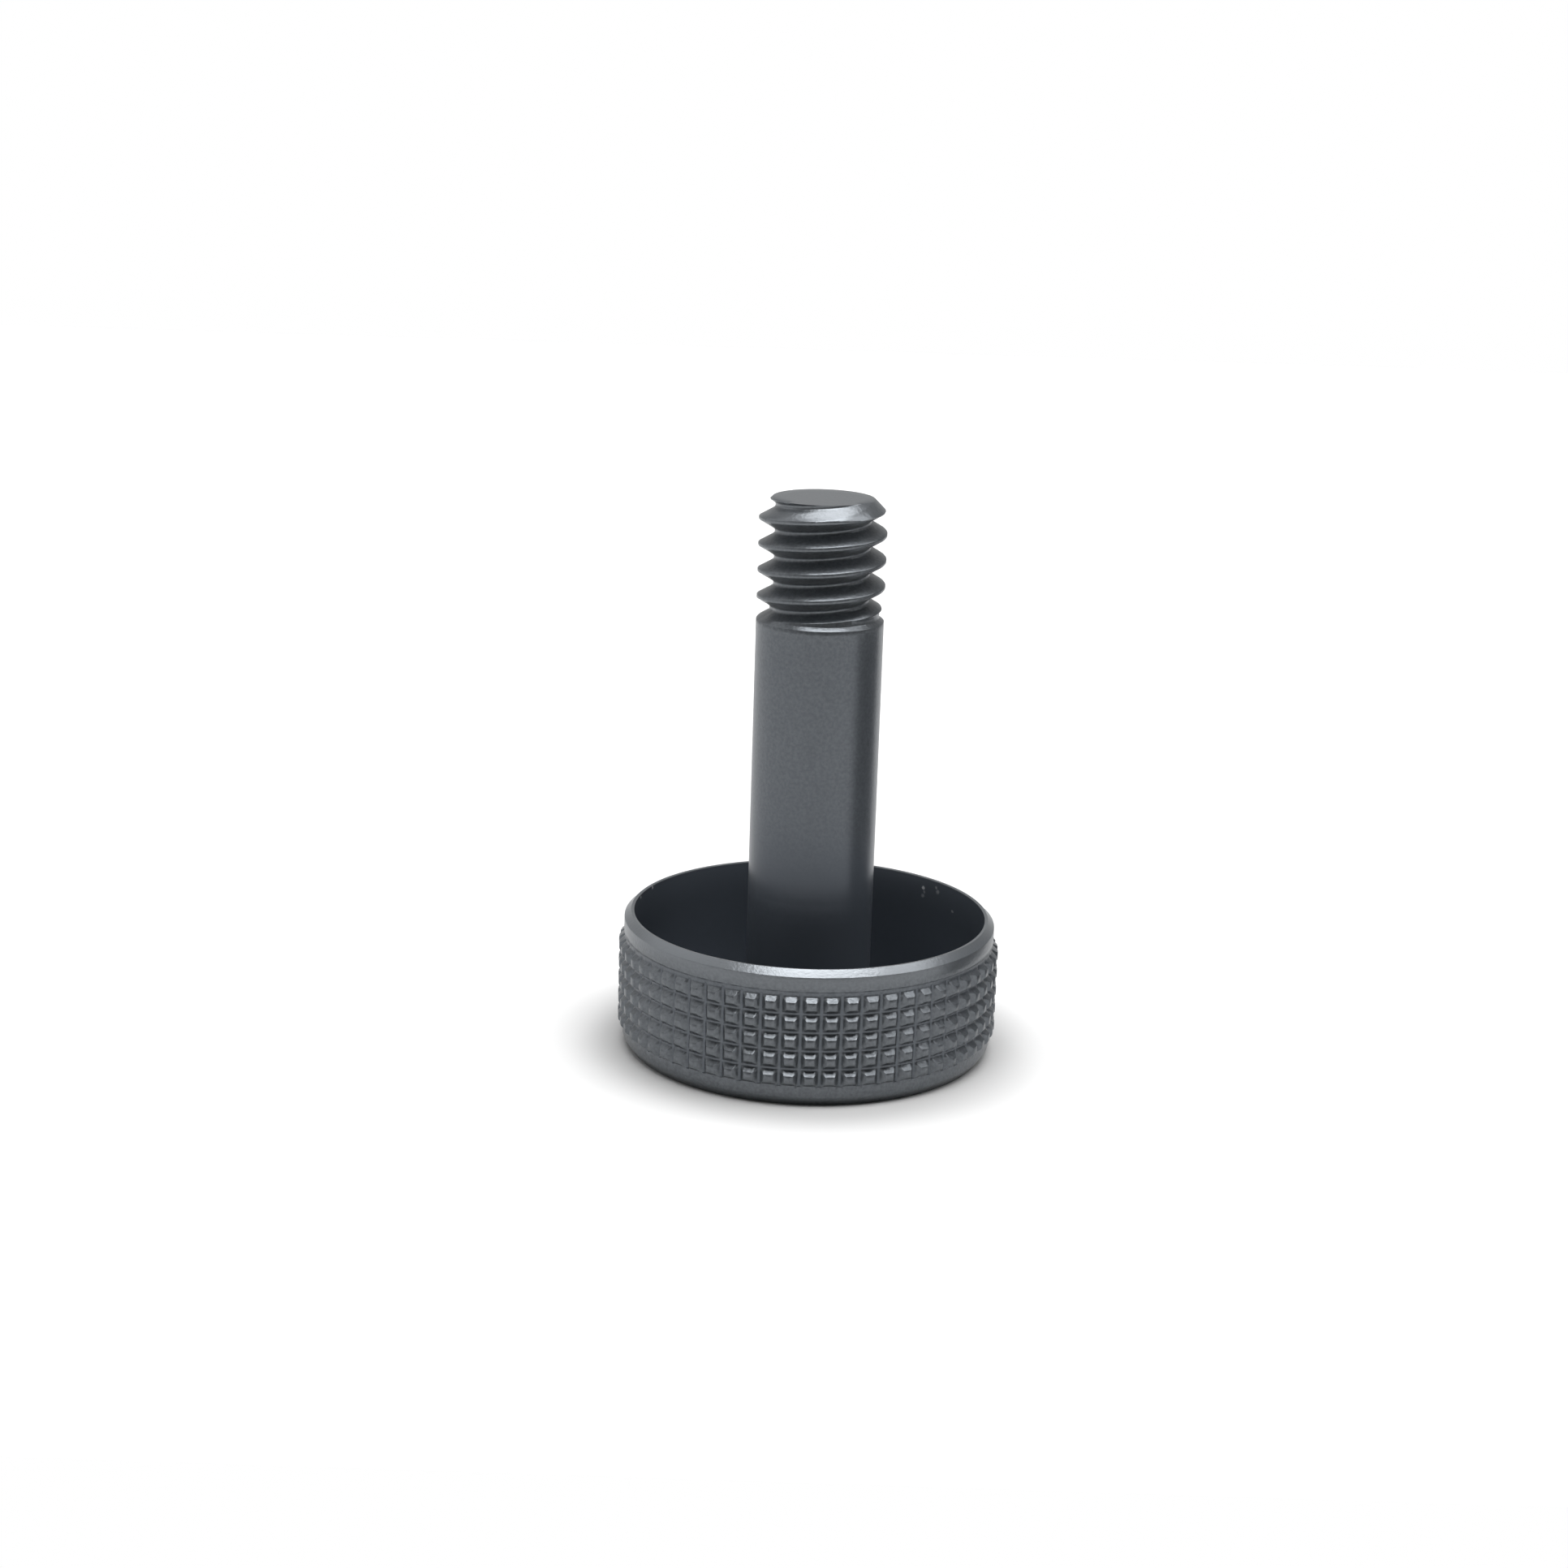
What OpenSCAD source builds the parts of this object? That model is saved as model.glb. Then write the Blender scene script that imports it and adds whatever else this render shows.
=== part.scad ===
// Thumb screw with a hollow knurled head, turned from one aluminium bar.
// It stands on the closed end of its head. The origin is that end's centre, and +Z runs to the threaded tip.
// All sizes are in millimetres.

/* [Whole screw] */
// Length from the head's closed end to the threaded tip
total_length = 27.6; // [24:0.1:40]
// Diameter of the plain shank, and of the thread over its crests
shank_diameter = 6.2; // [5.8:0.05:6.35]

/* [Head] */
// Height of the head, from its closed end to the rim of the cup
head_height = 6.8; // [6.6:0.1:9]
// Diameter of the plain bands above and below the knurl
band_diameter = 18.4; // [18.3:0.05:18.6]
// Inside diameter of the cup
cup_diameter = 17.4; // [16:0.1:17.4]
// Thickness of the cup's floor
floor_thickness = 0.9; // [0.7:0.1:2]
// Radius in the corner between the cup's floor and its wall
floor_fillet = 0.3; // [0.1:0.05:0.5]
// Bevel around the outside of the rim
rim_bevel = 0.3; // [0.1:0.02:0.3]
// Broken edge around the inside of the rim
rim_break = 0.06; // [0.02:0.01:0.08]
// Height of the bevel around the closed end
base_bevel_height = 0.5; // [0.3:0.05:0.6]
// Width of the bevel around the closed end
base_bevel_width = 0.35; // [0.2:0.05:0.5]

/* [Knurl] */
// Diameter over the knurl's blunt points
knurl_diameter = 18.9; // [18.7:0.05:19]
// Number of points around the head
knurl_count = 60; // [48:1:64]
// Number of rows of points
knurl_rows = 5; // [3:1:5]
// Distance from one row to the next
row_pitch = 0.92; // [0.85:0.01:0.95]
// Height at which the grooves along the head end, above the closed end
knurl_foot = 1.04; // [0.9:0.02:1.1]
// Width of a knurl groove at its bottom
groove_bottom = 0.14; // [0.1:0.01:0.2]
// Width of a knurl groove at its mouth
groove_mouth = 0.56; // [0.5:0.01:0.75]
// How far the grooves reach below the plain bands
groove_sink = 0.04; // [0.03:0.01:0.1]
// Clear ring between the top row and the band above it
top_gap = 0.23; // [0.12:0.01:0.25]

/* [Shank] */
// Radius in the corner where the shank leaves the cup's floor
root_fillet = 0.25; // [0.1:0.05:0.5]
// Height of the lower of two fine turned rings, where the blasted finish of the shank ends
ring_height = 7.3; // [7:0.1:12]
// Distance between the two rings
ring_spacing = 0.75; // [0.3:0.05:1.5]
// Width of a fine ring
ring_width = 0.12; // [0.05:0.01:0.2]
// Depth of a fine ring
ring_depth = 0.02; // [0.02:0.01:0.08]

/* [Thread] */
// Length of the threaded end, from the shoulder to the tip
thread_length = 6; // [4:0.1:9]
// Pitch of the thread
thread_pitch = 1.27; // [1.25:0.01:1.5]
// Depth of the thread
thread_depth = 0.78; // [0.6:0.01:0.78]
// Width of the thread groove at its bottom
thread_root = 0.2; // [0.1:0.01:0.2]
// Direction in which the thread groove runs out of the tip, counted from +X
thread_exit = 290; // [0:1:359]
// Bevel at the threaded tip
tip_bevel = 0.63; // [0.4:0.01:0.8]
// Depth of the relief turned under the shoulder
relief_depth = 0.24; // [0.1:0.01:0.3]
// Width of the relief's floor
relief_width = 0.3; // [0.1:0.05:0.5]

/* [Hidden] */
$fn = 180;

shank_r = shank_diameter / 2;
band_r = band_diameter / 2;
cup_r = cup_diameter / 2;
knurl_r = knurl_diameter / 2;
ring_groove_r = band_r - groove_sink;
// The grooves that run along the screw are cut a hair deeper than the rings, so that they show as lines
flute_extra = 0.02;
flute_r = ring_groove_r - flute_extra;
flank = (groove_mouth - groove_bottom) / 2;
point_height = knurl_r - ring_groove_r;
// The lowest row has no ring groove under it: its lower flank ends on the plain band
first_rise = flank * groove_sink / point_height;
knurl_top = knurl_foot + knurl_rows * row_pitch - groove_bottom;
shoulder = total_length - thread_length;
// How far the cutters reach past the surface that they cut
clear = 0.1;
fillet_steps = 4;

// Points of a quarter round from angle a, counted towards angle b, about a centre
function arc(centre, radius, a, b) = [
    for (i = [0:fillet_steps])
        let (angle = a + (b - a) * i / fillet_steps)
        centre + radius * [cos(angle), sin(angle)]
];

// One ridge of the knurl, seen in section, from its lower foot to its upper foot
function knurl_row(foot) = [
    [ring_groove_r, foot],
    [knurl_r, foot + flank],
    [knurl_r, foot + row_pitch - groove_bottom - flank],
    [ring_groove_r, foot + row_pitch - groove_bottom]
];

// Section of a fine ring turned into the shank, from its lower edge to its upper edge
function fine_ring(z) = [
    [shank_r, z - ring_width / 2],
    [shank_r - ring_depth, z],
    [shank_r, z + ring_width / 2]
];

// Outside of the head, from the closed end up to the rim
head_outside = concat(
    [[0, 0], [band_r - base_bevel_width, 0], [band_r, base_bevel_height]],
    [[band_r, knurl_foot + first_rise]],
    [for (i = [1:3]) knurl_row(knurl_foot)[i]],
    [for (k = [1:knurl_rows - 1]) each knurl_row(knurl_foot + k * row_pitch)],
    [[ring_groove_r, knurl_top + top_gap], [band_r, knurl_top + top_gap + groove_sink]],
    [[band_r, head_height - rim_bevel], [band_r - rim_bevel, head_height]]
);

// Inside of the cup, from the rim down to the shank
cup_inside = concat(
    [[cup_r + rim_break, head_height], [cup_r, head_height - rim_break]],
    arc([cup_r - floor_fillet, floor_thickness + floor_fillet], floor_fillet, 0, -90),
    arc([shank_r + root_fillet, floor_thickness + root_fillet], root_fillet, 270, 180)
);

// Shank and the blank for the thread, from the root up to the tip
shank_outside = concat(
    fine_ring(ring_height),
    fine_ring(ring_height + ring_spacing),
    [[shank_r, shoulder], [shank_r - relief_depth, shoulder + relief_depth]],
    [[shank_r - relief_depth, shoulder + relief_depth + relief_width]],
    [[shank_r, shoulder + 2 * relief_depth + relief_width]],
    [[shank_r, total_length - tip_bevel], [shank_r - tip_bevel, total_length], [0, total_length]]
);

// The screw as it comes off the lathe, before its flutes and thread are cut
module turned_blank() {
    rotate_extrude() polygon(concat(head_outside, cup_inside, shank_outside));
}

// Cutter for one of the grooves that run along the head and split the rows into points
module flute_cutter() {
    mouth = groove_bottom / 2 + flank / point_height * (knurl_r + clear - flute_r);
    translate([0, 0, knurl_foot])
        linear_extrude(height = knurl_top + top_gap / 2 - knurl_foot)
            polygon([
                [flute_r, -groove_bottom / 2],
                [knurl_r + clear, -mouth],
                [knurl_r + clear, mouth],
                [flute_r, groove_bottom / 2]
            ]);
}

module knurl_flutes() {
    for (i = [0:knurl_count - 1]) rotate([0, 0, (i + 0.5) * 360 / knurl_count]) flute_cutter();
}

// The thread groove is a closed strip with four corners in each section, wound around the screw.
// It starts in the relief with next to no depth, is full after a quarter of a turn and runs out of the tip.
thread_angle = 60;
thread_segments = 36;
fade_steps = thread_segments / 4;
// Share of the full depth at which the groove starts
start_depth = 0.02;
steps_per_mm = thread_segments / thread_pitch;
steps_below = floor((thread_length - relief_depth) * steps_per_mm);
steps_above = ceil(groove_half_width(shank_r - thread_depth) * steps_per_mm) + 1;

function groove_half_width(bottom_r) =
    thread_root / 2 + (shank_r + clear - bottom_r) * tan(thread_angle / 2);

// Corners of the groove's section, counted in steps from where its middle leaves the tip
function groove_section(step) =
    let (depth = thread_depth * min(1, start_depth + (step + steps_below) / fade_steps))
    let (bottom_r = shank_r - depth)
    let (half = groove_half_width(bottom_r))
    let (turn = thread_exit + 360 * step / thread_segments)
    let (middle = total_length + step / steps_per_mm)
    let (low = [[bottom_r, -thread_root / 2], [shank_r + clear, -half]])
    let (high = [[shank_r + clear, half], [bottom_r, thread_root / 2]])
    [for (c = concat(low, high)) [c[0] * cos(turn), c[0] * sin(turn), middle + c[1]]];

module thread_groove() {
    corners = [for (s = [-steps_below:steps_above]) each groove_section(s)];
    last = len(corners) - 4;
    sides = [for (s = [0:4:last - 4]) for (c = [0:3])
        let (a = s + c, b = s + (c + 1) % 4)
        each [[a, b, b + 4], [a, b + 4, a + 4]]];
    start_face = [3, 2, 1, 0];
    end_face = [last, last + 1, last + 2, last + 3];
    polyhedron(points = corners, faces = concat([start_face], sides, [end_face]), convexity = 8);
}

module thumb_screw() {
    color("#5f6265")
        difference() {
            turned_blank();
            knurl_flutes();
            thread_groove();
        }
}

thumb_screw();
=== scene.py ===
"""A thumb screw turned from one aluminium bar: hollow knurled head, plain shank, short coarse thread.

It stands on the closed end of its head. Lengths are in millimetres, unless a comment says metres.
"""

import math

import bpy
import numpy as np
from mathutils import Matrix, Vector


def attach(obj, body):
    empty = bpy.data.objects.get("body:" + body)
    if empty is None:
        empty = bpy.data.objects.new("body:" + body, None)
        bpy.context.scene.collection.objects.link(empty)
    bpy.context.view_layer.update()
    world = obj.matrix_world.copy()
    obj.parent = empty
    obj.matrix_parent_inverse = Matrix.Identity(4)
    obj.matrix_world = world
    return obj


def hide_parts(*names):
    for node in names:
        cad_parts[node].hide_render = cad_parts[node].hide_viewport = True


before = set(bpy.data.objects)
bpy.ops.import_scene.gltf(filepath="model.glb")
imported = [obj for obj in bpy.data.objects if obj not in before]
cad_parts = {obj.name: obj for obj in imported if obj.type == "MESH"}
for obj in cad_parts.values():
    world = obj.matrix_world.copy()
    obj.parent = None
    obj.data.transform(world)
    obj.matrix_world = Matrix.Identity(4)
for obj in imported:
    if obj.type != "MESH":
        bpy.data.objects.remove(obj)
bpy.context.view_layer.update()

MM = 0.001  # a millimetre in metres
HAIR = 0.01  # a step or a gap that is too small to see

# Whole screw
TOTAL_LENGTH = 27.6
SHANK_R = 3.1

# Head
HEAD_HEIGHT = 6.8
BAND_R = 9.2
CUP_R = 8.7
FLOOR_Z = 0.9
FLOOR_FILLET = 0.3
ROOT_FILLET = 0.25
FILLET_STEPS = 5
BASE_BEVEL_HEIGHT = 0.5
BASE_BEVEL_WIDTH = 0.35
EDGE = 0.03  # how far a blasted edge is worn round, on either side of the edge
RIM_BEVEL = 0.3
BEVEL_DROP = 0.7 * EDGE  # the rim's bevel starts this far below its sharp lower corner
BEVEL_INSET = EDGE / 6  # and this far inside it
BEVEL_ROWS = (0.0, 0.05, 0.95, 1.0)  # shares of the bevel; rows near its ends keep its middle flat
RIM_BREAK = 0.06
BREAK_ROUND = 0.02  # how far the broken edge inside the rim is worn round

# Knurl
POINT_R = 9.45
POINTS_AROUND = 60
ROWS = 5
ROW_PITCH = 0.92
KNURL_FOOT = 1.04
GROOVE_HALF = 0.07
FLANK = 0.21
RING_FLOOR_R = 9.16
FLUTE_FLOOR_R = 9.14
TOP_GAP = 0.23
WORN = 0.02  # how far the knurl's edges are worn round
POINT_SLOPE = (POINT_R - RING_FLOOR_R) / FLANK
KNURL_TOP = KNURL_FOOT + ROWS * ROW_PITCH - 2 * GROOVE_HALF
# The worn step from the clear ring above the knurl out to the band: how far up, and how far out
BAND_STEP = ((HAIR, 0.01), (0.04, 0.025), (0.08, BAND_R - RING_FLOOR_R))

# Shank
RING_HEIGHTS = (7.3, 8.05)
RING_HALF = 0.05
RING_DEPTH = 0.0008  # so shallow that the two fine rings hardly show

# Thread
SHOULDER = 21.6
SHOULDER_RISE = 0.08  # the shoulder's corner sits this much higher, which makes its slope flatter
SHOULDER_ROUND = 0.012
RELIEF_DEPTH = 0.24
RELIEF_WIDTH = 0.3
PITCH = 1.27
THREAD_DEPTH = 0.78
FLANK_SPREAD = math.tan(math.radians(30))  # the two flanks stand at 60 degrees to each other
ROOT_HALF = 0.1
SHALLOW = 0.2  # the groove's bottom is narrower where the groove is less deep than this
ROOT_ROUND = 0.1  # reach of the rounding in the bottom corners of the groove
ROOT_CURVE = 2.2  # how quickly that rounding rises
CREST_ROUND = 0.025
TIP_BEVEL = 0.63
TIP_ROUND = 0.03
THREAD_EXIT = 290.0  # direction in which the groove leaves the tip, in degrees
THREAD_START = 5.75  # how far below the tip the groove begins
FADE_IN = PITCH / 4  # rise over which the groove reaches its full depth
TURNS = range(-7, 3)  # all turns of the groove that can reach the threaded end
BELOW_THREAD = 21.0  # a height on the plain shank
ABOVE_THREAD = 30.0  # a height past the tip
HALVINGS = 30  # steps in the search for where a flank meets the blank

# Mesh
COLUMNS = 240  # around the cup, the shank and the thread
CELL = 2 * math.pi / POINTS_AROUND  # the angle that one knurl point takes up
CELL_LINES = 10  # lines around the head in each cell
CELL_COLUMNS = COLUMNS // POINTS_AROUND
CELL_SPANS = ((0, 3), (3, 5), (5, 7), (7, 10))  # the lines that each step between two columns spans
THREAD_BASE = 21.45  # the height at which the shank's rings go over into the thread's columns
BASE_FAN_R = 8.2  # inside these radii, the closed end and the tip are filled with triangles
TIP_FAN_R = 1.9
WELD_DECIMALS = 5  # points that agree to this many decimals are one point
LEVEL = 1e-6  # sums of radii that differ by less than this count as equal
CORNER = math.radians(42)  # faces that meet at more than this angle keep a sharp edge

# Mesh lines across the thread's groove
BOTTOM_LINE = 0.6  # share of the bottom's half width
FOOT_LINE = 0.03  # shares of the flank
ROOT_LINE = 0.2
CREST_SHARE = 0.3  # the most of the flank that the rounding of its crest takes

# Extra rows that keep the shading of long plain faces straight
ROW_UNDER_KNURL = 0.25  # below the knurl's foot
ROW_OVER_KNURL = 0.35  # above the foot of the upper band
CUP_ROWS = (5.0, 3.0)  # heights
FLOOR_ROWS = (7.0, 5.0)  # radii
LOW_SHANK_ROWS = (2.5, 4.5, 6.2)  # heights
HIGH_SHANK_ROWS = (9.5, 12.0, 15.0, 18.0, 20.5, 21.3)  # heights

# How fully the beads have blasted the metal, which also paints shade: by height on the shank, where the
# fade towards the cup is partly the smooth finish and partly painted shade, and by radius in the knurl,
# where the darker bottoms of the grooves are painted shade
SHANK_BLASTING_AND_SHADE = ((9.2, 0.0), (12.8, 0.7), (21.0, 0.7), (21.8, 1.0))
# painted shade: the bottoms of the knurl's grooves are darker
KNURL_GROOVE_SHADE = ((FLUTE_FLOOR_R, 0.5), (RING_FLOOR_R + 0.03, 1.0))
KNURL_INSIDE = 9.0  # the knurl's grooves all lie outside this radius

# How much lighter the metal is, by height: up the band to the rim, and up to the tip. This is partly edge
# wear and partly a painted highlight on the rim and the tip, and painted light on the band
RIM_WEAR_AND_HIGHLIGHT = ((5.9, 0.15), (6.4, 0.35), (6.52, 1.0))
TIP_WEAR_AND_HIGHLIGHT = ((TOTAL_LENGTH - 1.2, 0.0), (TOTAL_LENGTH - 0.6, 0.5))
BAND_FOOT = 5.85

# Small pale marks on the cup's wall and on its edge: place, radius and how light each one is
PALE_MARKS = (
    ((-8.48, 1.93, 6.66), 0.14, 1.0),
    ((-7.95, 3.54, 6.7), 0.12, 1.0),
    ((6.04, 6.27, 6.24), 0.14, 0.8),
    ((6.10, 6.20, 6.04), 0.12, 0.3),
    ((6.66, 5.60, 6.45), 0.12, 0.35),
    ((6.75, 5.49, 6.28), 0.2, 0.3),
    ((6.04, 6.27, 5.8), 0.16, 0.3),
    ((7.46, 4.49, 5.55), 0.12, 0.4),
    ((7.49, 4.42, 5.53), 0.1, 0.4),
)
PALE_MARK_EDGE = (1.4, 0.7)  # a mark sets in at the first multiple of its radius and is full at the second

# Finish of the metal. Real bead dents are several times finer; these are as coarse as it takes to show.
DENT_SIZE = 0.15
DENT_DEPTH = 0.01
# the smooth finish in the cup, also used as painted shade down the shank and in the knurl's groove bottoms
SMOOTH_AND_SHADE_GREY = "#525860"
DARK_GRAIN = "#62666a"
LIGHT_GRAIN = "#6f7377"
# lighter grey: partly edge wear, partly a painted highlight on the rim and the tip and painted light on the
# band
WEAR_AND_HIGHLIGHT_GREY = "#7e8286"
PALE_MARK_GREY = "#d4d6d8"

# What the sockets of a Map Range node are called, and the values that each use of one gives them
SPAN = ("From Min", "From Max", "To Min", "To Max")
GRAIN = (0.3, 0.7, 0.0, 1.0)  # from the height of the dents to the mix of the two greys
ROUGHNESS = (0.0, 1.0, 0.29, 0.33)  # from the smooth and the painted-shade places to fully blasted
METALLIC = (0.0, 1.0, 0.3, 0.75)  # from the smooth and the painted-shade places to fully blasted
SHADOW_RING_GLOW = (0.0095, 0.0138, 0.0, 0.3)  # from the distance to the screw, in metres, to the floor's glow; with none close to the screw, it paints a ring of shadow there
FAR_GLOW = (0.013, 0.25, 0.0, 0.25)  # the same, further out
SIDE_LIGHT = (-0.7, 0.7, 0.48, 0.1)  # from how far a direction leans to the dim side
HIGH_LIGHT = (0.1, 0.6, 1.2, 0.5)  # from how far up it points

# Studio
WHITE = (1, 1, 1, 1)
FLOOR_PAINT = "#cacaca"
FLOOR_SIZE = 0.6  # metres
MIRRORED_GLOW = 0.6  # share of the floor's glow that shows in the metal
DIM_SIDE = (0.8, -0.6, 0.0)
CARD_PAINT = "#7c7f83"
CARD_CORNERS = ((17, -7, 0), (29, 22, 0), (29, 22, 19), (17, -7, 19))

# Soft lamps: name, place, width, depth and power, in metres and watts
LAMPS = (
    ("overhead", (0.035, -0.115, 0.58), 0.5, 0.27, 3.0),
    ("behind", (0.015, 0.2, 0.56), 0.4, 0.2, 1.35),
    ("left", (-0.5, 0.15, 0.4), 0.5, 0.5, 0.5),
    ("right", (0.48, 0.0, 0.46), 0.35, 0.35, 1.1),
)
LAMP_TARGET = (0, 0, 0.012)  # metres

# Camera, with its angles in degrees
CAMERA_DISTANCE = 134.5
CAMERA_HEIGHT = 50.07
CAMERA_AROUND = 1.58  # how far to the left of the screw's front it stands
CAMERA_PAN = -0.63
CAMERA_TILT = 15.282
CAMERA_ROLL = 1.862
CAMERA_LENS = 65.06
CAMERA_SENSOR = 36.0


def linear(hex_colour):
    """An sRGB hex colour as linear red, green, blue and alpha."""
    parts = [int(hex_colour[i:i + 2], 16) / 255 for i in (1, 3, 5)]
    curve = [p / 12.92 if p <= 0.04045 else ((p + 0.055) / 1.055) ** 2.4 for p in parts]
    return (*curve, 1.0)


# ---------------------------------------------------------------- outside of the head

def flute_lines():
    """Angles of the mesh lines around the head and the radius that the flutes leave on each line."""
    lead = (RING_FLOOR_R - FLUTE_FLOOR_R) / POINT_SLOPE
    tip = GROOVE_HALF + FLANK + lead
    low = GROOVE_HALF + WORN + lead
    side = [
        (GROOVE_HALF - WORN, FLUTE_FLOOR_R),
        (low, FLUTE_FLOOR_R + POINT_SLOPE * (low - GROOVE_HALF)),
        (tip - WORN, POINT_R - POINT_SLOPE * WORN),
        (tip + WORN, POINT_R),
    ]
    offsets = [(0.0, FLUTE_FLOOR_R)] + [(math.asin(x / r), r) for x, r in side]
    offsets += [(CELL / 2, POINT_R)] + [(CELL - a, r) for a, r in reversed(offsets[1:])]
    angles = [(i + 0.5) * CELL + a for i in range(POINTS_AROUND) for a, r in offsets]
    radii = [r for i in range(POINTS_AROUND) for a, r in offsets]
    return np.array(angles), np.array(radii)


def ridge(foot):
    """One ring of the knurl in section: (height, radius, fluted) from its lower to its upper foot."""
    low = foot + FLANK
    high = foot + ROW_PITCH - 2 * GROOVE_HALF - FLANK
    top = high + FLANK
    return [
        (foot - WORN, RING_FLOOR_R, True),
        (foot + WORN, RING_FLOOR_R + POINT_SLOPE * WORN, True),
        (low - WORN, POINT_R - POINT_SLOPE * WORN, True),
        (low + WORN, POINT_R, True),
        ((low + high) / 2, POINT_R, True),
        (high - WORN, POINT_R, True),
        (high + WORN, POINT_R - POINT_SLOPE * WORN, True),
        (top - WORN, RING_FLOOR_R + POINT_SLOPE * WORN, True),
        (top + WORN, RING_FLOOR_R, True),
    ]


def base_rows():
    """Rows of the bevel around the closed end and of the plain band under the knurl."""
    base_r = BAND_R - BASE_BEVEL_WIDTH
    lean = BASE_BEVEL_WIDTH / BASE_BEVEL_HEIGHT
    return [
        (0.0, base_r - EDGE, False),
        (EDGE, base_r + EDGE * lean, False),
        (BASE_BEVEL_HEIGHT - EDGE, BAND_R - EDGE * lean, False),
        (BASE_BEVEL_HEIGHT + EDGE, BAND_R, False),
        (KNURL_FOOT - ROW_UNDER_KNURL, BAND_R, False),
        (KNURL_FOOT - HAIR, BAND_R, False),
    ]


def knurl_rows():
    """Rows of the knurl, up to the middle of the clear ring above it, where the flutes end."""
    first_rise = (BAND_R - RING_FLOOR_R) / POINT_SLOPE
    rows = [(KNURL_FOOT + HAIR, BAND_R, True), (KNURL_FOOT + first_rise, BAND_R, True)]
    rows += ridge(KNURL_FOOT)[2:]
    for k in range(1, ROWS):
        foot = KNURL_FOOT + k * ROW_PITCH
        rows.append((foot - GROOVE_HALF, RING_FLOOR_R, True))
        rows += ridge(foot)
    rows.append((KNURL_TOP + TOP_GAP / 2 - HAIR, RING_FLOOR_R, True))
    return rows


def band_rows():
    """Rows of the rest of the clear ring and of the plain band above it."""
    edge = KNURL_TOP + TOP_GAP
    rows = [(KNURL_TOP + TOP_GAP / 2 + HAIR, RING_FLOOR_R, False), (edge - HAIR, RING_FLOOR_R, False)]
    rows += [(edge + up, RING_FLOOR_R + out, False) for up, out in BAND_STEP]
    rows.append((edge + ROW_OVER_KNURL, BAND_R, False))
    return rows


def rim_rows():
    """Rows of the rim's bevel, up to the flat of the rim: flat but for a narrow round at each edge."""
    low_z = HEAD_HEIGHT - RIM_BEVEL - BEVEL_DROP
    low_r = BAND_R - BEVEL_INSET
    high_z = HEAD_HEIGHT - EDGE / 2
    high_r = BAND_R - RIM_BEVEL - EDGE / 2
    rows = [(low_z - EDGE / 2, BAND_R, False)]
    for share in BEVEL_ROWS:
        rows.append((low_z + share * (high_z - low_z), low_r + share * (high_r - low_r), False))
    rows.append((HEAD_HEIGHT, BAND_R - RIM_BEVEL - EDGE, False))
    return rows


def head_rows():
    """Rows of the head's outside, from the closed end up to the rim: (height, radius, fluted)."""
    return base_rows() + knurl_rows() + band_rows() + rim_rows()


# ---------------------------------------------------------------- cup and shank

def quarter_round(centre_r, centre_z, radius, start, end):
    """Points (radius, height) of a fillet between two directions, in degrees."""
    turns = [math.radians(start + (end - start) * i / FILLET_STEPS) for i in range(FILLET_STEPS + 1)]
    return [(centre_r + radius * math.cos(t), centre_z + radius * math.sin(t)) for t in turns]


def fine_ring(z):
    """Points (radius, height) of a fine ring turned into the shank."""
    return [
        (SHANK_R, z - RING_HALF),
        (SHANK_R - RING_DEPTH, z - HAIR),
        (SHANK_R - RING_DEPTH, z + HAIR),
        (SHANK_R, z + RING_HALF),
    ]


def inside_rows():
    """Rows (radius, height) from the flat of the rim down the cup and up the shank to its shoulder."""
    rows = [
        (CUP_R + RIM_BREAK + BREAK_ROUND, HEAD_HEIGHT),
        (CUP_R + BREAK_ROUND, HEAD_HEIGHT - BREAK_ROUND),
        (CUP_R, HEAD_HEIGHT - RIM_BREAK - BREAK_ROUND),
    ]
    rows += [(CUP_R, z) for z in CUP_ROWS]
    rows += quarter_round(CUP_R - FLOOR_FILLET, FLOOR_Z + FLOOR_FILLET, FLOOR_FILLET, 0, -90)
    rows += [(r, FLOOR_Z) for r in FLOOR_ROWS]
    rows += quarter_round(SHANK_R + ROOT_FILLET, FLOOR_Z + ROOT_FILLET, ROOT_FILLET, 270, 180)
    rows += [(SHANK_R, z) for z in LOW_SHANK_ROWS]
    for z in RING_HEIGHTS:
        rows += fine_ring(z)
    rows += [(SHANK_R, z) for z in HIGH_SHANK_ROWS]
    return rows


# ---------------------------------------------------------------- thread

def blank_corners():
    """Corners (height, radius) of the turned blank under the thread, each worn a little round."""
    low = SHANK_R - RELIEF_DEPTH
    corners = [
        (SHOULDER + SHOULDER_RISE, SHANK_R, SHOULDER_ROUND),
        (SHOULDER + RELIEF_DEPTH, low, CREST_ROUND),
        (SHOULDER + RELIEF_DEPTH + RELIEF_WIDTH, low, CREST_ROUND),
        (SHOULDER + 2 * RELIEF_DEPTH + RELIEF_WIDTH, SHANK_R, CREST_ROUND),
        (TOTAL_LENGTH - TIP_BEVEL, SHANK_R, CREST_ROUND),
    ]
    heights = [BELOW_THREAD] + [z for z, r, edge in corners] + [TOTAL_LENGTH]
    radii = [SHANK_R] + [r for z, r, edge in corners] + [SHANK_R - TIP_BEVEL]
    worn = []
    for z, r, edge in corners:
        for side in (-edge, edge):
            worn.append((z + side, float(np.interp(z + side, heights, radii))))
    worn.append((TOTAL_LENGTH - TIP_ROUND, SHANK_R - TIP_BEVEL + TIP_ROUND))
    worn.append((TOTAL_LENGTH, SHANK_R - TIP_BEVEL - HAIR))
    return worn


BLANK = blank_corners()
BLANK_Z = np.array([BELOW_THREAD] + [z for z, r in BLANK] + [ABOVE_THREAD])
BLANK_R = np.array([SHANK_R] + [r for z, r in BLANK] + [BLANK[-1][1]])


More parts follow.
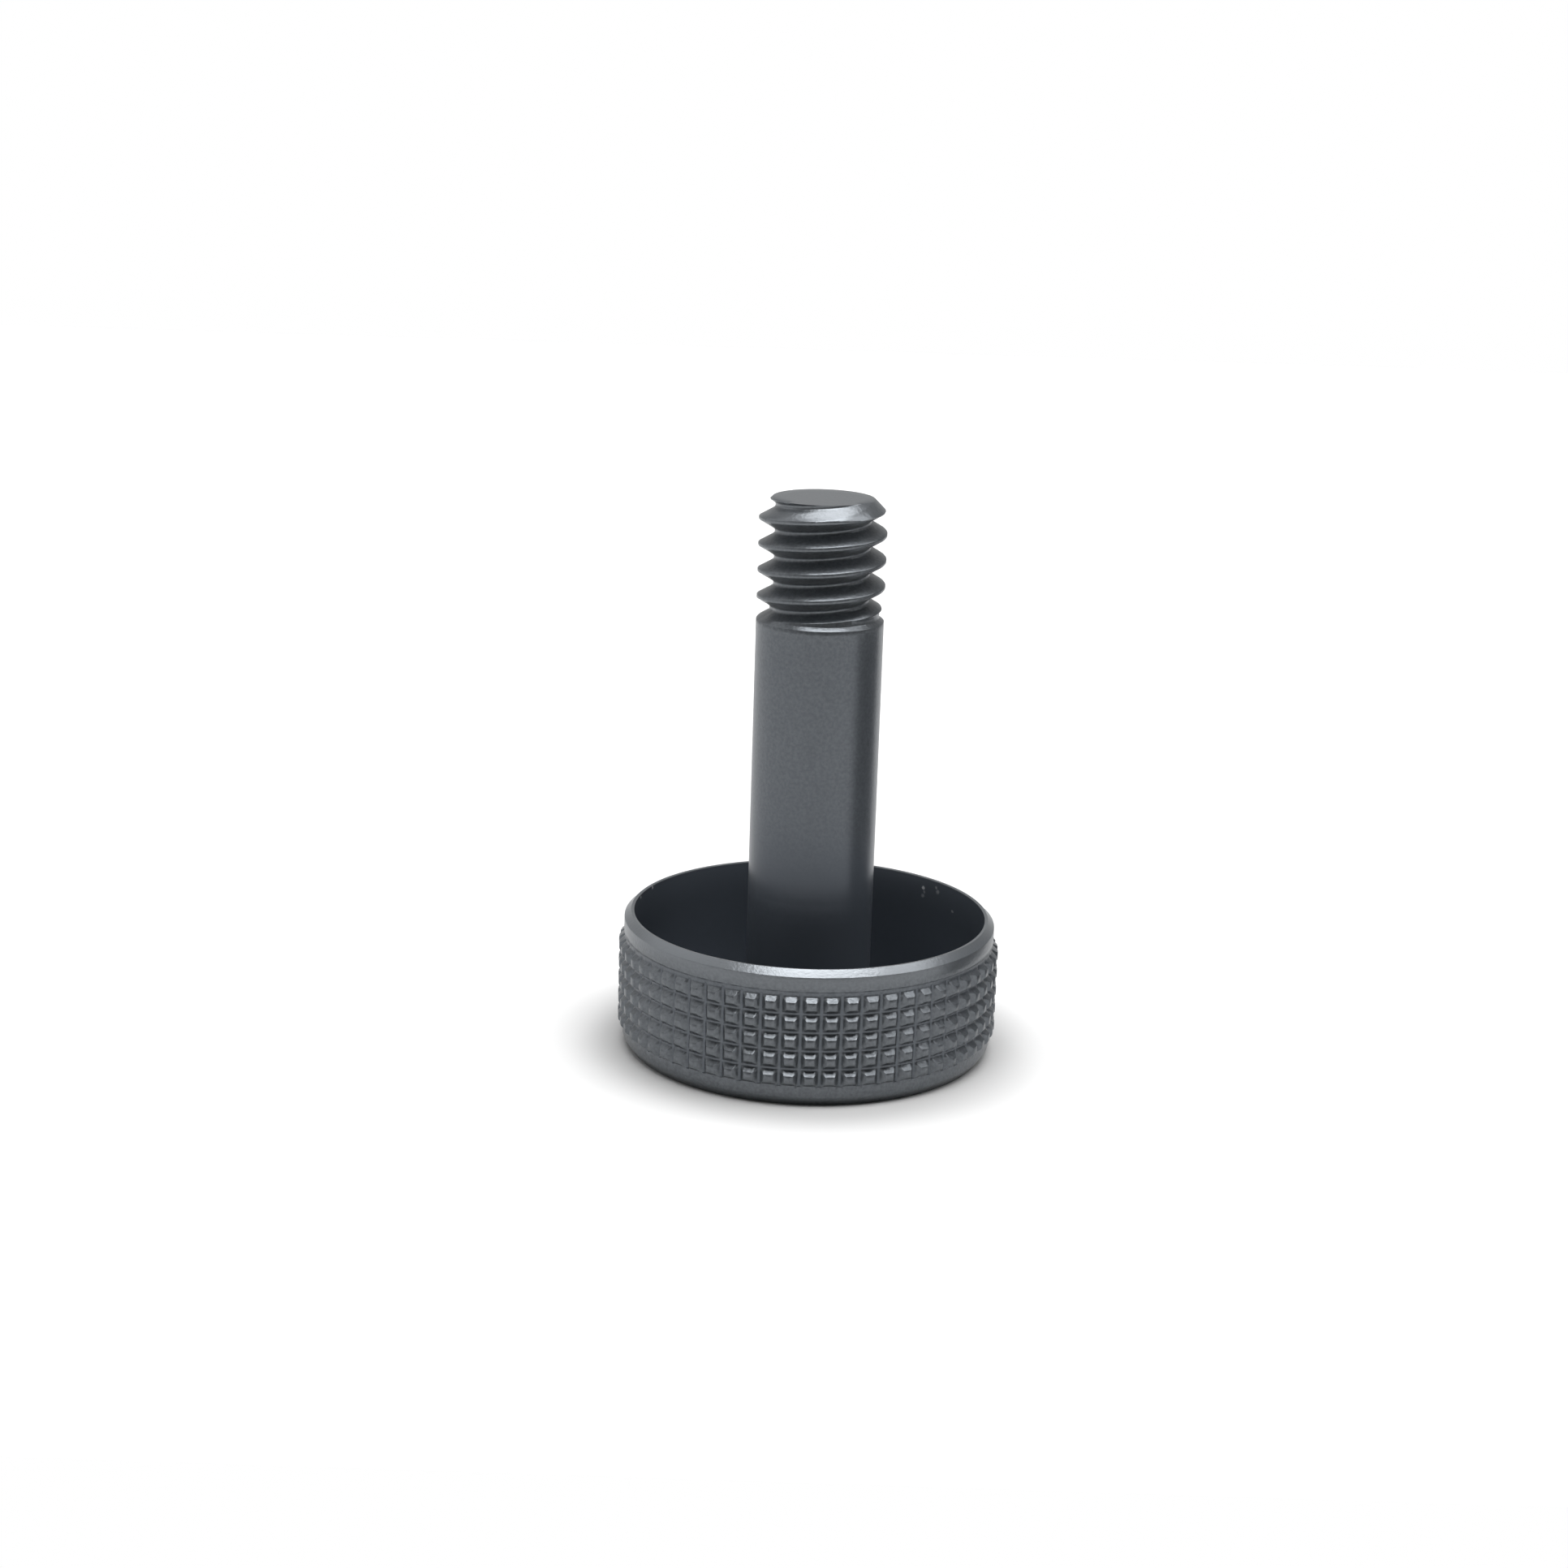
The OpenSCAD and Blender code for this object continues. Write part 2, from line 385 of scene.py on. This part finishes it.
def blank_radius(z):
    """Radius of the turned blank at a height."""
    return np.interp(z, BLANK_Z, BLANK_R)


def flank_radius(z, middle, bottom, half):
    """Radius that the thread groove leaves at a height: a flat bottom between two flanks."""
    return bottom + np.maximum(np.abs(z - middle) - half, 0) / FLANK_SPREAD


def meeting(middle, bottom, half, side):
    """How far from its middle the groove's flank meets the blank, found by halving."""
    low = half.copy()
    high = half + (SHANK_R + HAIR - bottom) * FLANK_SPREAD
    for _ in range(HALVINGS):
        centre = (low + high) / 2
        z = middle + side * centre
        outside = flank_radius(z, middle, bottom, half) > blank_radius(z)
        high = np.where(outside, centre, high)
        low = np.where(outside, low, centre)
    return (low + high) / 2


def turns_at(angle):
    """The turns of the groove in one direction, counted from where it leaves the tip."""
    return [(math.degrees(angle) - THREAD_EXIT) / 360 + k for k in TURNS]


def groove(turn):
    """Middle height, bottom radius and half width of the groove at a turn."""
    middle = TOTAL_LENGTH + PITCH * turn
    share = np.clip((middle - TOTAL_LENGTH + THREAD_START) / FADE_IN, 0, 1)
    depth = THREAD_DEPTH * share
    half = ROOT_HALF * np.clip(depth / SHALLOW, 0, 1)
    return middle, SHANK_R - depth, half


def groove_lines(turn):
    """Heights of the mesh lines across one turn of the groove, from its lower to its upper edge."""
    middle, bottom, half = groove(turn)
    halves = []
    for side in (-1, 1):
        reach = meeting(middle, bottom, half, side)
        flank = reach - half
        worn = np.minimum(CREST_ROUND, CREST_SHARE * flank)
        root = half + ROOT_LINE * flank
        lines = [BOTTOM_LINE * half, half + FOOT_LINE * flank, root, (root + reach - worn) / 2]
        lines += [reach - worn, reach + worn]
        halves.append([middle + side * d for d in lines])
    return halves[0][::-1] + [middle] + halves[1]


def thread_radius(z, angle):
    """Radius of the threaded end at a height and an angle, with the groove's bottom corners rounded."""
    radius = blank_radius(z)
    for turn in turns_at(angle):
        middle, bottom, half = groove(turn)
        cut = flank_radius(z, middle, bottom, half)
        corner = np.abs(np.abs(z - middle) - half)
        fillet = np.maximum(ROOT_ROUND * half / ROOT_HALF - corner, 0) ** 2 * ROOT_CURVE
        radius = np.minimum(radius, cut + fillet)
    return radius


def thread_columns():
    """Angles of the columns of points around the threaded end, and the heights and radii in each one."""
    heights = []
    angles = [2 * math.pi * i / COLUMNS for i in range(COLUMNS + 1)]
    for angle in angles:
        grooves = [[float(z[0]) for z in groove_lines(np.array([turn]))] for turn in turns_at(angle)]
        column = []
        for lower, upper in zip(grooves[:-1], grooves[1:]):
            column += lower
            column += [min(max(z, lower[-1]), upper[0]) for z, r in BLANK]
        heights.append([min(max(z, THREAD_BASE), TOTAL_LENGTH) for z in column])
    heights = np.array(heights)
    radii = np.array([thread_radius(z, a) for z, a in zip(heights, angles)])
    return np.array(angles), heights, radii


# ---------------------------------------------------------------- one closed mesh

def read_off(curve, places):
    """Values at the given places along a curve of (place, value) pairs."""
    known_places, known_values = zip(*curve)
    return np.interp(places, known_places, known_values)


def blasting_and_shade(points):
    """How fully the beads have reached each point, which also sets where shade is painted.

    It is 1 outside, less in the grooves of the knurl, as painted shade, and fades to 0 down the shank and
    in the cup, partly for the smooth finish and partly as painted shade near the cup.
    """
    radius = np.hypot(points[:, 0], points[:, 1])
    height = points[:, 2]
    in_the_knurl = (radius > KNURL_INSIDE) & (height > KNURL_FOOT)
    outside = np.where(in_the_knurl, read_off(KNURL_GROOVE_SHADE, radius), 1.0)
    in_the_cup = (radius < CUP_R + HAIR) & (height > FLOOR_Z / 2)
    return np.where(in_the_cup, read_off(SHANK_BLASTING_AND_SHADE, height), outside)


def wear_and_highlight(points):
    """How much lighter the metal is at each point: most on the rim, some on its band and at the tip. It is
    partly edge wear and partly painted highlight and painted light.
    """
    radius = np.hypot(points[:, 0], points[:, 1])
    height = points[:, 2]
    on_the_rim = (radius > CUP_R + HAIR) & (height > BAND_FOOT)
    return np.where(on_the_rim, read_off(RIM_WEAR_AND_HIGHLIGHT, height), read_off(TIP_WEAR_AND_HIGHLIGHT, height))


class Skin:
    """Collects points and faces of the screw's surface, then joins points that coincide."""

    def __init__(self):
        self.points = []
        self.faces = []
        self.count = 0

    def ring(self, angles, radii, z):
        """Adds one ring or column of points and returns their numbers."""
        radii = np.broadcast_to(radii, np.shape(angles))
        z = np.broadcast_to(z, np.shape(angles))
        self.points.append(np.stack([radii * np.cos(angles), radii * np.sin(angles), z], 1))
        first = self.count
        self.count += len(angles)
        return list(range(first, self.count))

    def strip(self, low, high):
        """Faces between two rings with equal counts; low comes first along the surface."""
        n = len(low)
        for i in range(n):
            j = (i + 1) % n
            self.faces.append((low[i], low[j], high[j], high[i]))

    def diagonal_strip(self, low, high, radii_low, radii_high):
        """As strip, but four-sided faces that bend are split along the ridge between two flanks."""
        n = len(low)
        for i in range(n):
            j = (i + 1) % n
            a, b, c, d = low[i], low[j], high[j], high[i]
            rising = radii_low[i] + radii_high[j]
            falling = radii_low[j] + radii_high[i]
            if abs(rising - falling) < LEVEL:
                self.faces.append((a, b, c, d))
            elif rising > falling:
                self.faces.append((a, b, c))
                self.faces.append((a, c, d))
            else:
                self.faces.append((a, b, d))
                self.faces.append((b, c, d))

    def reduce(self, fine, coarse, inward):
        """Faces between a ring of the head's lines and a ring of the columns, which are fewer."""
        n = len(coarse)
        for i in range(n):
            cell, part = divmod(i, CELL_COLUMNS)
            start, end = CELL_SPANS[part]
            outer = [fine[(cell * CELL_LINES + k) % len(fine)] for k in range(start, end + 1)]
            face = outer + [coarse[(i + 1) % n], coarse[i]]
            self.faces.append(tuple(face if inward else reversed(face)))

    def fan(self, ring, centre, upward):
        """Closes a ring with triangles that meet in its centre."""
        self.points.append(np.array([centre]))
        hub = self.count
        self.count += 1
        for i in range(len(ring)):
            j = (i + 1) % len(ring)
            face = (ring[i], ring[j], hub)
            self.faces.append(face if upward else face[::-1])

    def mesh(self, name):
        """The finished mesh, in metres."""
        points = np.concatenate(self.points)
        unique, where = np.unique(np.round(points, WELD_DECIMALS), axis=0, return_inverse=True)
        where = where.reshape(-1)
        faces = []
        for face in self.faces:
            kept = []
            for corner in (int(where[v]) for v in face):
                if corner not in kept:
                    kept.append(corner)
            if len(kept) > 2:
                faces.append(kept)
        mesh = bpy.data.meshes.new(name)
        mesh.from_pydata((unique * MM).tolist(), [], faces)
        mesh.validate()
        for attribute, values in (("blasting_and_shade", blasting_and_shade(unique)), ("wear_and_highlight", wear_and_highlight(unique))):
            mesh.attributes.new(attribute, "FLOAT", "POINT").data.foreach_set("value", values)
        return mesh


def add_head(skin):
    """The outside of the head; returns its lowest and its highest ring."""
    angles, flute_radii = flute_lines()
    rings = []
    radii = []
    for z, r, fluted in head_rows():
        radius = np.minimum(flute_radii, r) if fluted else np.full(len(angles), r)
        radii.append(radius)
        rings.append(skin.ring(angles, radius, z))
    for k in range(len(rings) - 1):
        skin.diagonal_strip(rings[k], rings[k + 1], radii[k], radii[k + 1])
    return rings[0], rings[-1]


def add_inside(skin, base, rim):
    """The flat of the closed end, the cup and the shank; returns the shank's last ring."""
    angles = np.array([CELL / 2 + 2 * math.pi * i / COLUMNS for i in range(COLUMNS)])
    under = skin.ring(angles, BASE_FAN_R, 0.0)
    skin.reduce(base, under, inward=False)
    skin.fan(under, (0.0, 0.0, 0.0), upward=False)
    inner = [skin.ring(angles, r, z) for r, z in inside_rows()]
    skin.reduce(rim, inner[0], inward=True)
    for low, high in zip(inner[:-1], inner[1:]):
        skin.strip(low, high)
    return inner[-1]


def add_thread(skin, shank):
    """The threaded end, from the shank's last ring to the tip."""
    angles, heights, radii = thread_columns()
    columns = [skin.ring(np.full(len(z), a), r, z) for a, z, r in zip(angles, heights, radii)]
    for left, right in zip(columns[:-1], columns[1:]):
        for i in range(len(left) - 1):
            skin.faces.append((left[i], right[i], right[i + 1], left[i + 1]))
    foot = [c[0] for c in columns[:-1]]
    shift = CELL_COLUMNS // 2  # the shank's rings start half a cell further round
    skin.strip(shank, foot[shift:] + foot[:shift])
    tip = [c[-1] for c in columns[:-1]]
    ring = skin.ring(angles[:-1], TIP_FAN_R, TOTAL_LENGTH)
    skin.strip(tip, ring)
    skin.fan(ring, (0.0, 0.0, TOTAL_LENGTH), upward=True)


def build_screw():
    """The whole screw as one closed surface."""
    skin = Skin()
    base, rim = add_head(skin)
    shank = add_inside(skin, base, rim)
    add_thread(skin, shank)
    mesh = skin.mesh("thumb_screw")
    for face in mesh.polygons:
        face.use_smooth = True
    mesh.set_sharp_from_angle(angle=CORNER)
    screw = bpy.data.objects.new("anodised_screw", mesh)
    bpy.context.scene.collection.objects.link(screw)
    return screw


# ---------------------------------------------------------------- finishes

def add_node(tree, kind, settings=None, values=None, links=None):
    """Adds a shader node with its settings, socket values and incoming links."""
    node = tree.nodes.new(kind)
    for name, value in (settings or {}).items():
        setattr(node, name, value)
    for socket, value in (values or {}).items():
        node.inputs[socket].default_value = value
    for socket, source in (links or {}).items():
        tree.links.new(source, node.inputs[socket])
    return node


def new_material(name):
    """An empty material, and its node tree."""
    material = bpy.data.materials.new(name)
    material.use_nodes = True
    tree = material.node_tree
    tree.nodes.clear()
    return material, tree


def pale_mark(tree, place, dents, spot):
    """How strongly one pale mark shows at each point; the dents fray its edge."""
    point, radius, strength = spot
    outer, inner = (share * radius * MM for share in PALE_MARK_EDGE)
    away = add_node(
        tree, "ShaderNodeVectorMath", {"operation": "DISTANCE"},
        values={1: [v * MM for v in point]},
        links={0: place},
    )
    frayed = add_node(
        tree, "ShaderNodeMath", {"operation": "MULTIPLY_ADD"},
        values={1: radius * MM},
        links={0: dents, 2: away.outputs["Value"]},
    )
    mark = add_node(
        tree, "ShaderNodeMapRange", {"interpolation_type": "SMOOTHSTEP"},
        values=dict(zip(SPAN, (outer, inner, 0.0, strength))),
        links={"Value": frayed.outputs[0]},
    )
    return mark.outputs[0]


def all_pale_marks(tree, place, dents):
    """How strongly the small pale marks show at each point; where two meet, the stronger one does."""
    total, *others = [pale_mark(tree, place, dents, spot) for spot in PALE_MARKS]
    for mark in others:
        both = add_node(
            tree, "ShaderNodeMath", {"operation": "MAXIMUM"},
            links={0: total, 1: mark},
        )
        total = both.outputs[0]
    return total


def metal_colour(tree, dents, blasted):
    """Colour of the metal: grained where it is blasted, lighter on the rim, its band and the tip, partly
    for wear and partly as painted highlight, dark where smooth and where shade is painted.
    """
    share = add_node(
        tree, "ShaderNodeMapRange",
        values=dict(zip(SPAN, GRAIN)),
        links={"Value": dents},
    )
    grained = add_node(
        tree, "ShaderNodeMix", {"data_type": "RGBA"},
        values={6: linear(DARK_GRAIN), 7: linear(LIGHT_GRAIN)},
        links={0: share.outputs[0]},
    )
    # painted highlight on the rim and the tip and painted light up the band, partly edge wear
    highlighted = add_node(tree, "ShaderNodeAttribute", {"attribute_name": "wear_and_highlight"})
    brightened = add_node(
        tree, "ShaderNodeMix", {"data_type": "RGBA"},
        values={7: linear(WEAR_AND_HIGHLIGHT_GREY)},
        links={0: highlighted.outputs["Fac"], 6: grained.outputs[2]},
    )
    # the smooth grey darkens the cup, the fade down the shank and the knurl's groove bottoms: partly
    # finish, partly painted shade
    colour = add_node(
        tree, "ShaderNodeMix", {"data_type": "RGBA"},
        values={6: linear(SMOOTH_AND_SHADE_GREY)},
        links={0: blasted, 7: brightened.outputs[2]},
    )
    return colour.outputs[2]


def dented_surface(tree, dents, blasted):
    """The small dents that the beads leave, as shallow bumps."""
    depth = add_node(
        tree, "ShaderNodeMath", {"operation": "MULTIPLY"},
        links={0: dents, 1: blasted},
    )
    bump = add_node(
        tree, "ShaderNodeBump",
        values={"Strength": 1.0, "Distance": DENT_DEPTH * MM},
        links={"Height": depth.outputs[0]},
    )
    return bump.outputs["Normal"]


def anodised_aluminium():
    """Anodised aluminium, dark grey: blasted with glass beads outside, smooth as turned inside the cup.

    The beads leave small dents that scatter the light, so the metal looks matt with a fine sparkle.
    They don't reach into the cup, where the smooth dyed skin of the metal looks nearly black. The colour
    also fades darker down the shank towards the cup, partly for that finish and partly as painted shade,
    and in the bottoms of the knurl's grooves, as painted shade. The rim and the tip are lighter, partly for
    edge wear and partly as a painted highlight, the band under the rim a little, as painted light, and a
    few small pale marks lie inside the cup.
    """
    material, tree = new_material("anodised aluminium, dark grey, bead blasted")
    place = add_node(tree, "ShaderNodeTexCoord").outputs["Object"]
    blasted = add_node(tree, "ShaderNodeAttribute", {"attribute_name": "blasting_and_shade"}).outputs["Fac"]
    noise = add_node(
        tree, "ShaderNodeTexNoise",
        values={"Scale": 1 / (DENT_SIZE * MM), "Detail": 1.0, "Roughness": 0.5},
        links={"Vector": place},
    )
    dents = noise.outputs["Fac"]
    marked = add_node(
        tree, "ShaderNodeMix", {"data_type": "RGBA"},
        values={7: linear(PALE_MARK_GREY)},
        links={0: all_pale_marks(tree, place, dents), 6: metal_colour(tree, dents, blasted)},
    )
    levels = {}
    for socket, span in (("Roughness", ROUGHNESS), ("Metallic", METALLIC)):
        level = add_node(
            tree, "ShaderNodeMapRange",
            values=dict(zip(SPAN, span)),
            links={"Value": blasted},
        )
        levels[socket] = level.outputs[0]
    surface = add_node(
        tree, "ShaderNodeBsdfPrincipled",
        links={
            "Base Color": marked.outputs[2],
            "Metallic": levels["Metallic"],
            "Roughness": levels["Roughness"],
            "Normal": dented_surface(tree, dents, blasted),
        },
    )
    add_node(tree, "ShaderNodeOutputMaterial", links={"Surface": surface.outputs["BSDF"]})
    return material


# ---------------------------------------------------------------- studio

def floor_glow(tree):
    """How much the floor glows, which makes up for the lamps' fading and, held back close to the screw,
    paints a ring of shadow around it; only the eye and the metal see it.
    """
    place = add_node(tree, "ShaderNodeTexCoord")
    away = add_node(
        tree, "ShaderNodeVectorMath", {"operation": "LENGTH"},
        links={0: place.outputs["Object"]},
    )
    far = add_node(
        tree, "ShaderNodeMapRange",
        values=dict(zip(SPAN, FAR_GLOW)),
        links={"Value": away.outputs["Value"]},
    )
    # no glow close to the screw: this paints a ring of shadow around it, which the metal mirrors too
    near = add_node(
        tree, "ShaderNodeMapRange", {"interpolation_type": "SMOOTHSTEP"},
        values=dict(zip(SPAN, SHADOW_RING_GLOW)),
        links={"Value": away.outputs["Value"]},
    )
    whole = add_node(
        tree, "ShaderNodeMath", {"operation": "ADD"},
        links={0: far.outputs[0], 1: near.outputs[0]},
    )
    path = add_node(tree, "ShaderNodeLightPath")
    seen = add_node(
        tree, "ShaderNodeMath", {"operation": "MULTIPLY_ADD"},
        values={1: MIRRORED_GLOW},
        links={0: path.outputs["Is Glossy Ray"], 2: path.outputs["Is Camera Ray"]},
    )
    level = add_node(
        tree, "ShaderNodeMath", {"operation": "MULTIPLY"},
        links={0: whole.outputs[0], 1: seen.outputs[0]},
    )
    return level.outputs[0]


def painted_board():
    """White painted board, matt: it takes the soft shadow of the screw, has a painted ring of shadow around
    it, and is plain white further out.
    """
    material, tree = new_material("white painted board")
    paint = add_node(tree, "ShaderNodeBsdfDiffuse", values={"Color": linear(FLOOR_PAINT)})
    glow = add_node(
        tree, "ShaderNodeEmission",
        values={"Color": WHITE},
        links={"Strength": floor_glow(tree)},
    )
    both = add_node(tree, "ShaderNodeAddShader", links={0: paint.outputs[0], 1: glow.outputs[0]})
    add_node(tree, "ShaderNodeOutputMaterial", links={"Surface": both.outputs[0]})
    return material


def white_floor():
    """A plain white floor under the screw."""
    bpy.ops.mesh.primitive_plane_add(size=FLOOR_SIZE, location=(0, 0, 0))
    floor = bpy.context.object
    floor.name = "floor"
    floor.data.materials.append(painted_board())


def wall_light(tree):
    """How much light the walls give from each direction: most low down, on the left and behind."""
    direction = add_node(tree, "ShaderNodeTexCoord")
    parts = add_node(tree, "ShaderNodeSeparateXYZ", links={0: direction.outputs["Generated"]})
    across = add_node(
        tree, "ShaderNodeVectorMath", {"operation": "DOT_PRODUCT"},
        values={1: DIM_SIDE},
        links={0: direction.outputs["Generated"]},
    )
    sideways = add_node(
        tree, "ShaderNodeMapRange", {"interpolation_type": "SMOOTHSTEP"},
        values=dict(zip(SPAN, SIDE_LIGHT)),
        links={"Value": across.outputs["Value"]},
    )
    upward = add_node(
        tree, "ShaderNodeMapRange", {"interpolation_type": "SMOOTHSTEP"},
        values=dict(zip(SPAN, HIGH_LIGHT)),
        links={"Value": parts.outputs["Z"]},
    )
    level = add_node(
        tree, "ShaderNodeMath", {"operation": "MULTIPLY"},
        links={0: sideways.outputs[0], 1: upward.outputs[0]},
    )
    return level.outputs[0]


def white_room():
    """White walls around the screw, which light it, and a plain white backdrop for the camera."""
    world = bpy.data.worlds.new("studio")
    bpy.context.scene.world = world
    world.use_nodes = True
    tree = world.node_tree
    tree.nodes.clear()
    path = add_node(tree, "ShaderNodeLightPath")
    room = add_node(
        tree, "ShaderNodeBackground",
        values={"Color": WHITE},
        links={"Strength": wall_light(tree)},
    )
    backdrop = add_node(tree, "ShaderNodeBackground", values={"Color": WHITE, "Strength": 1.0})
    shown = add_node(
        tree, "ShaderNodeMixShader",
        links={0: path.outputs["Is Camera Ray"], 1: room.outputs[0], 2: backdrop.outputs[0]},
    )
    add_node(tree, "ShaderNodeOutputWorld", links={"Surface": shown.outputs[0]})


def dark_card():
    """A matt grey card to the right of the screw, seen only in the metal, which it darkens on that side."""
    material, tree = new_material("dark grey card")
    paint = add_node(tree, "ShaderNodeBsdfDiffuse", values={"Color": linear(CARD_PAINT)})
    add_node(tree, "ShaderNodeOutputMaterial", links={"Surface": paint.outputs[0]})
    mesh = bpy.data.meshes.new("dark card")
    mesh.from_pydata([[v * MM for v in corner] for corner in CARD_CORNERS], [], [(0, 1, 2, 3)])
    card = bpy.data.objects.new("dark card", mesh)
    bpy.context.scene.collection.objects.link(card)
    card.data.materials.append(material)
    card.visible_camera = False
    card.visible_diffuse = False
    card.visible_shadow = False


def softbox(name, place, width, depth, watts):
    """A rectangular soft lamp that faces the screw; place and sizes in metres."""
    lamp = bpy.data.lights.new(name, "AREA")
    lamp.shape = "RECTANGLE"
    lamp.size = width
    lamp.size_y = depth
    lamp.energy = watts
    stand = bpy.data.objects.new(name, lamp)
    bpy.context.scene.collection.objects.link(stand)
    stand.location = place
    stand.rotation_euler = (Vector(LAMP_TARGET) - Vector(place)).to_track_quat("-Z", "Y").to_euler()


def camera_pose():
    """Where the camera stands and how it is turned, as one matrix in metres."""
    around = math.radians(CAMERA_AROUND)
    pan = around + math.radians(CAMERA_PAN)
    tilt = math.radians(CAMERA_TILT)
    roll = math.radians(CAMERA_ROLL)
    forward = Vector((math.sin(pan) * math.cos(tilt), math.cos(pan) * math.cos(tilt), -math.sin(tilt)))
    right = Vector((math.cos(pan), -math.sin(pan), 0))
    up = right.cross(forward)
    side = right * math.cos(roll) + up * math.sin(roll)
    top = up * math.cos(roll) - right * math.sin(roll)
    pose = Matrix((side, top, -forward)).transposed().to_4x4()
    place = (-CAMERA_DISTANCE * math.sin(around), -CAMERA_DISTANCE * math.cos(around), CAMERA_HEIGHT)
    pose.translation = Vector(place) * MM
    return pose


def studio_camera():
    """A long lens, a little above the screw and looking down on it."""
    data = bpy.data.cameras.new("camera")
    data.lens = CAMERA_LENS
    data.sensor_width = CAMERA_SENSOR
    camera = bpy.data.objects.new("camera", data)
    bpy.context.scene.collection.objects.link(camera)
    camera.matrix_world = camera_pose()
    bpy.context.scene.camera = camera


screw = build_screw()
screw.data.materials.append(anodised_aluminium())
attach(screw, "root")
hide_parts("thumb_screw")

white_floor()
white_room()
for lamp_values in LAMPS:
    softbox(*lamp_values)
dark_card()
studio_camera()
bpy.context.scene.view_settings.view_transform = "Standard"
